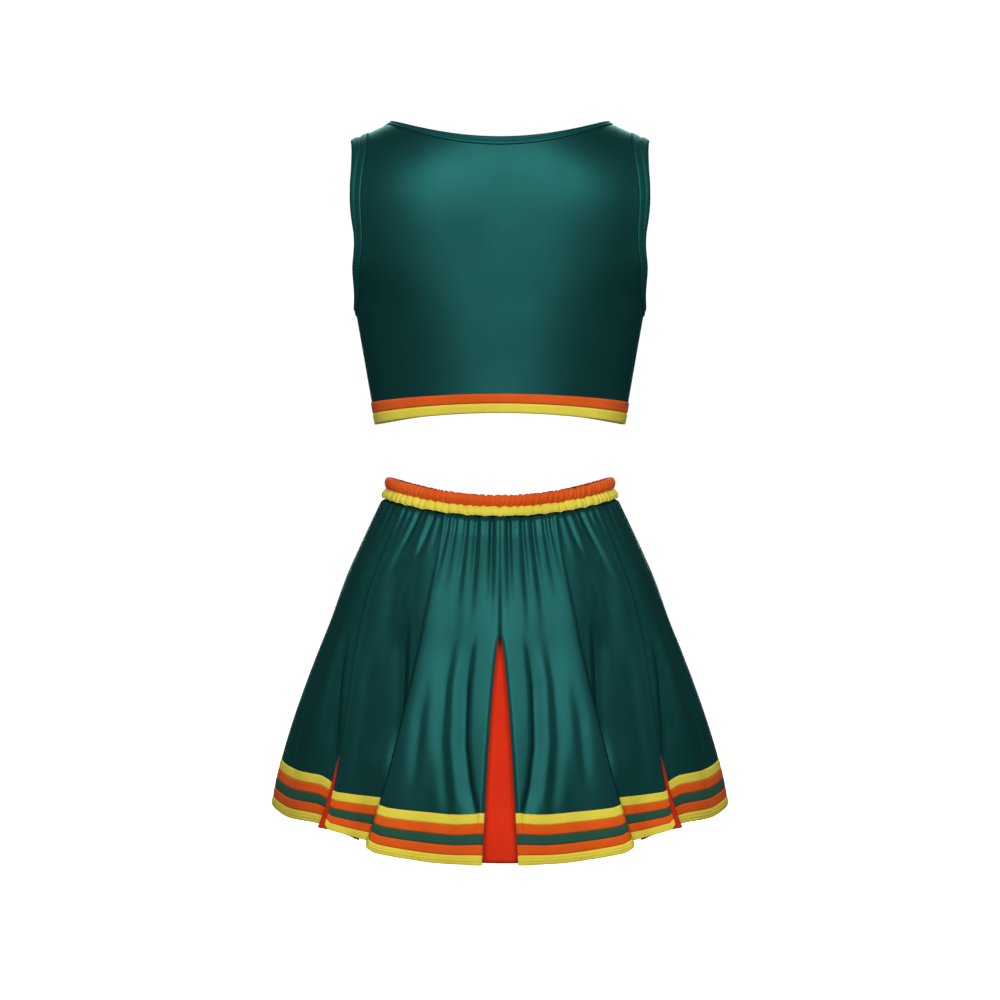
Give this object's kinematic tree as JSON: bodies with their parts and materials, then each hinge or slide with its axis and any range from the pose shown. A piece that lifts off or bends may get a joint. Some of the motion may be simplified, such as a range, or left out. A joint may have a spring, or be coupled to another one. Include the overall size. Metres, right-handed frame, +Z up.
{
  "type": "cheer uniform",
  "caption": "Sleeveless fitted shell top and a flared gored skirt with coloured pleat insets, a banded waistband and a striped hem.",
  "frame": {"origin": "middle of the skirt's waist opening, half way up the waistband", "axes": "+Z up towards the neck, +Y out of the wearer's back, +X to the wearer's left"},
  "size_m": [0.4984, 0.5032, 0.753],
  "materials": {
    "green_knit": "dark green stretch knit with a satin face",
    "green_binding": "dark green knit binding, folded and topstitched",
    "orange_knit": "orange stretch knit",
    "yellow_knit": "yellow stretch knit",
    "orange_braid": "orange flat hem braid",
    "yellow_braid": "yellow flat hem braid",
    "inset_knit": "orange-red stretch knit",
    "elastic": "white woven elastic tape"
  },
  "bodies": {
    "waistband": {"waist_casing_orange": "orange_knit", "waist_casing_yellow": "yellow_knit", "waist_elastic_upper": "elastic", "waist_elastic_lower": "elastic"},
    "gore_back_left_1": {"gore_back_left_1": "green_knit", "hem_braid_yellow_back_left_1": "yellow_braid", "hem_braid_orange_back_left_1": "orange_braid"},
    "gore_back_left_2": {"gore_back_left_2": "green_knit", "hem_braid_yellow_back_left_2": "yellow_braid", "hem_braid_orange_back_left_2": "orange_braid"},
    "gore_back_left_3": {"gore_back_left_3": "green_knit", "hem_braid_yellow_back_left_3": "yellow_braid", "hem_braid_orange_back_left_3": "orange_braid"},
    "pleat_inset_back_left_1": {"pleat_inset_back_left_1": "inset_knit"},
    "pleat_inset_back_left_2": {"pleat_inset_back_left_2": "inset_knit"},
    "gore_back_right_1": {"gore_back_right_1": "green_knit", "hem_braid_yellow_back_right_1": "yellow_braid", "hem_braid_orange_back_right_1": "orange_braid"},
    "gore_back_right_2": {"gore_back_right_2": "green_knit", "hem_braid_yellow_back_right_2": "yellow_braid", "hem_braid_orange_back_right_2": "orange_braid"},
    "gore_back_right_3": {"gore_back_right_3": "green_knit", "hem_braid_yellow_back_right_3": "yellow_braid", "hem_braid_orange_back_right_3": "orange_braid"},
    "pleat_inset_back_right_1": {"pleat_inset_back_right_1": "inset_knit"},
    "pleat_inset_back_right_2": {"pleat_inset_back_right_2": "inset_knit"},
    "gore_front_left_1": {"gore_front_left_1": "green_knit", "hem_braid_yellow_front_left_1": "yellow_braid", "hem_braid_orange_front_left_1": "orange_braid"},
    "gore_front_left_2": {"gore_front_left_2": "green_knit", "hem_braid_yellow_front_left_2": "yellow_braid", "hem_braid_orange_front_left_2": "orange_braid"},
    "gore_front_left_3": {"gore_front_left_3": "green_knit", "hem_braid_yellow_front_left_3": "yellow_braid", "hem_braid_orange_front_left_3": "orange_braid"},
    "pleat_inset_front_left_1": {"pleat_inset_front_left_1": "inset_knit"},
    "pleat_inset_front_left_2": {"pleat_inset_front_left_2": "inset_knit"},
    "gore_front_right_1": {"gore_front_right_1": "green_knit", "hem_braid_yellow_front_right_1": "yellow_braid", "hem_braid_orange_front_right_1": "orange_braid"},
    "gore_front_right_2": {"gore_front_right_2": "green_knit", "hem_braid_yellow_front_right_2": "yellow_braid", "hem_braid_orange_front_right_2": "orange_braid"},
    "gore_front_right_3": {"gore_front_right_3": "green_knit", "hem_braid_yellow_front_right_3": "yellow_braid", "hem_braid_orange_front_right_3": "orange_braid"},
    "pleat_inset_front_right_1": {"pleat_inset_front_right_1": "inset_knit"},
    "pleat_inset_front_right_2": {"pleat_inset_front_right_2": "inset_knit"},
    "pleat_inset_back_centre": {"pleat_inset_back_centre": "inset_knit"},
    "pleat_inset_front_centre": {"pleat_inset_front_centre": "inset_knit"},
    "pleat_inset_side_left": {"pleat_inset_side_left": "inset_knit"},
    "pleat_inset_side_right": {"pleat_inset_side_right": "inset_knit"},
    "top": {"back_bodice": "green_knit", "front_bodice": "green_knit", "neck_binding": "green_binding", "armhole_binding_left": "green_binding", "armhole_binding_right": "green_binding", "top_band_orange": "orange_knit", "top_band_yellow": "yellow_knit"}
  },
  "joints": [
    {"name": "flare_back_left_1", "type": "hinge", "parent": "waistband", "child": "gore_back_left_1", "pos_m": [0.02884, 0.0954, -0.02041], "axis": [0.9659, -0.2588, 0], "range_deg": [0, 24]},
    {"name": "flare_back_left_2", "type": "hinge", "parent": "waistband", "child": "gore_back_left_2", "pos_m": [0.07938, 0.07611, -0.01455], "axis": [0.7071, -0.7071, 0], "range_deg": [0, 24]},
    {"name": "skirt_flare", "type": "hinge", "parent": "waistband", "child": "gore_back_left_3", "pos_m": [0.11895, 0.03231, -0.00615], "axis": [0.2588, -0.9659, 0], "range_deg": [0, 24]},
    {"name": "flare_inset_back_left_1", "type": "hinge", "parent": "waistband", "child": "pleat_inset_back_left_1", "pos_m": [0.05523, 0.08808, -0.01803], "axis": [0.866, -0.5, 0], "range_deg": [0, 24]},
    {"name": "flare_inset_back_left_2", "type": "hinge", "parent": "waistband", "child": "pleat_inset_back_left_2", "pos_m": [0.09996, 0.05966, -0.0106], "axis": [0.5, -0.866, 0], "range_deg": [0, 24]},
    {"name": "flare_back_right_1", "type": "hinge", "parent": "waistband", "child": "gore_back_right_1", "pos_m": [-0.02884, 0.0954, -0.02041], "axis": [0.9659, 0.2588, 0], "range_deg": [0, 24]},
    {"name": "flare_back_right_2", "type": "hinge", "parent": "waistband", "child": "gore_back_right_2", "pos_m": [-0.07938, 0.07611, -0.01455], "axis": [0.7071, 0.7071, 0], "range_deg": [0, 24]},
    {"name": "flare_back_right_3", "type": "hinge", "parent": "waistband", "child": "gore_back_right_3", "pos_m": [-0.11895, 0.03231, -0.00615], "axis": [0.2588, 0.9659, 0], "range_deg": [0, 24]},
    {"name": "flare_inset_back_right_1", "type": "hinge", "parent": "waistband", "child": "pleat_inset_back_right_1", "pos_m": [-0.05523, 0.08808, -0.01803], "axis": [0.866, 0.5, 0], "range_deg": [0, 24]},
    {"name": "flare_inset_back_right_2", "type": "hinge", "parent": "waistband", "child": "pleat_inset_back_right_2", "pos_m": [-0.09996, 0.05966, -0.0106], "axis": [0.5, 0.866, 0], "range_deg": [0, 24]},
    {"name": "flare_front_left_1", "type": "hinge", "parent": "waistband", "child": "gore_front_left_1", "pos_m": [0.02884, -0.0954, -0.02515], "axis": [-0.9659, -0.2588, 0], "range_deg": [0, 24]},
    {"name": "flare_front_left_2", "type": "hinge", "parent": "waistband", "child": "gore_front_left_2", "pos_m": [0.07938, -0.07611, -0.01757], "axis": [-0.7071, -0.7071, 0], "range_deg": [0, 24]},
    {"name": "flare_front_left_3", "type": "hinge", "parent": "waistband", "child": "gore_front_left_3", "pos_m": [0.11895, -0.03231, -0.00669], "axis": [-0.2588, -0.9659, 0], "range_deg": [0, 24]},
    {"name": "flare_inset_front_left_1", "type": "hinge", "parent": "waistband", "child": "pleat_inset_front_left_1", "pos_m": [0.05523, -0.08808, -0.02207], "axis": [-0.866, -0.5, 0], "range_deg": [0, 24]},
    {"name": "flare_inset_front_left_2", "type": "hinge", "parent": "waistband", "child": "pleat_inset_front_left_2", "pos_m": [0.09996, -0.05966, -0.01245], "axis": [-0.5, -0.866, 0], "range_deg": [0, 24]},
    {"name": "flare_front_right_1", "type": "hinge", "parent": "waistband", "child": "gore_front_right_1", "pos_m": [-0.02884, -0.0954, -0.02515], "axis": [-0.9659, 0.2588, 0], "range_deg": [0, 24]},
    {"name": "flare_front_right_2", "type": "hinge", "parent": "waistband", "child": "gore_front_right_2", "pos_m": [-0.07938, -0.07611, -0.01757], "axis": [-0.7071, 0.7071, 0], "range_deg": [0, 24]},
    {"name": "flare_front_right_3", "type": "hinge", "parent": "waistband", "child": "gore_front_right_3", "pos_m": [-0.11895, -0.03231, -0.00669], "axis": [-0.2588, 0.9659, 0], "range_deg": [0, 24]},
    {"name": "flare_inset_front_right_1", "type": "hinge", "parent": "waistband", "child": "pleat_inset_front_right_1", "pos_m": [-0.05523, -0.08808, -0.02207], "axis": [-0.866, 0.5, 0], "range_deg": [0, 24]},
    {"name": "flare_inset_front_right_2", "type": "hinge", "parent": "waistband", "child": "pleat_inset_front_right_2", "pos_m": [-0.09996, -0.05966, -0.01245], "axis": [-0.5, 0.866, 0], "range_deg": [0, 24]},
    {"name": "flare_inset_back_centre", "type": "hinge", "parent": "waistband", "child": "pleat_inset_back_centre", "pos_m": [0, 0.098, -0.0213], "axis": [1, 0, 0], "range_deg": [0, 24]},
    {"name": "flare_inset_front_centre", "type": "hinge", "parent": "waistband", "child": "pleat_inset_front_centre", "pos_m": [0, -0.098, -0.0263], "axis": [-1, 0, 0], "range_deg": [0, 24]},
    {"name": "flare_inset_side_left", "type": "hinge", "parent": "waistband", "child": "pleat_inset_side_left", "pos_m": [0.126, 0, -0.0043], "axis": [0, -1, 0], "range_deg": [0, 24]},
    {"name": "flare_inset_side_right", "type": "hinge", "parent": "waistband", "child": "pleat_inset_side_right", "pos_m": [-0.126, 0, -0.0043], "axis": [0, 1, 0], "range_deg": [0, 24]},
    {"name": "top_lift", "type": "slide", "parent": "waistband", "child": "top", "axis": [0, 0, 1], "range_m": [0, 0.35]}
  ],
  "couplings": [
    {"joint": "flare_back_left_1", "follows": "skirt_flare", "ratio": 1},
    {"joint": "flare_back_left_2", "follows": "skirt_flare", "ratio": 1},
    {"joint": "flare_inset_back_left_1", "follows": "skirt_flare", "ratio": 1},
    {"joint": "flare_inset_back_left_2", "follows": "skirt_flare", "ratio": 1},
    {"joint": "flare_back_right_1", "follows": "skirt_flare", "ratio": 1},
    {"joint": "flare_back_right_2", "follows": "skirt_flare", "ratio": 1},
    {"joint": "flare_back_right_3", "follows": "skirt_flare", "ratio": 1},
    {"joint": "flare_inset_back_right_1", "follows": "skirt_flare", "ratio": 1},
    {"joint": "flare_inset_back_right_2", "follows": "skirt_flare", "ratio": 1},
    {"joint": "flare_front_left_1", "follows": "skirt_flare", "ratio": 1},
    {"joint": "flare_front_left_2", "follows": "skirt_flare", "ratio": 1},
    {"joint": "flare_front_left_3", "follows": "skirt_flare", "ratio": 1},
    {"joint": "flare_inset_front_left_1", "follows": "skirt_flare", "ratio": 1},
    {"joint": "flare_inset_front_left_2", "follows": "skirt_flare", "ratio": 1},
    {"joint": "flare_front_right_1", "follows": "skirt_flare", "ratio": 1},
    {"joint": "flare_front_right_2", "follows": "skirt_flare", "ratio": 1},
    {"joint": "flare_front_right_3", "follows": "skirt_flare", "ratio": 1},
    {"joint": "flare_inset_front_right_1", "follows": "skirt_flare", "ratio": 1},
    {"joint": "flare_inset_front_right_2", "follows": "skirt_flare", "ratio": 1},
    {"joint": "flare_inset_back_centre", "follows": "skirt_flare", "ratio": 1},
    {"joint": "flare_inset_front_centre", "follows": "skirt_flare", "ratio": 1},
    {"joint": "flare_inset_side_left", "follows": "skirt_flare", "ratio": 1},
    {"joint": "flare_inset_side_right", "follows": "skirt_flare", "ratio": 1}
  ]
}
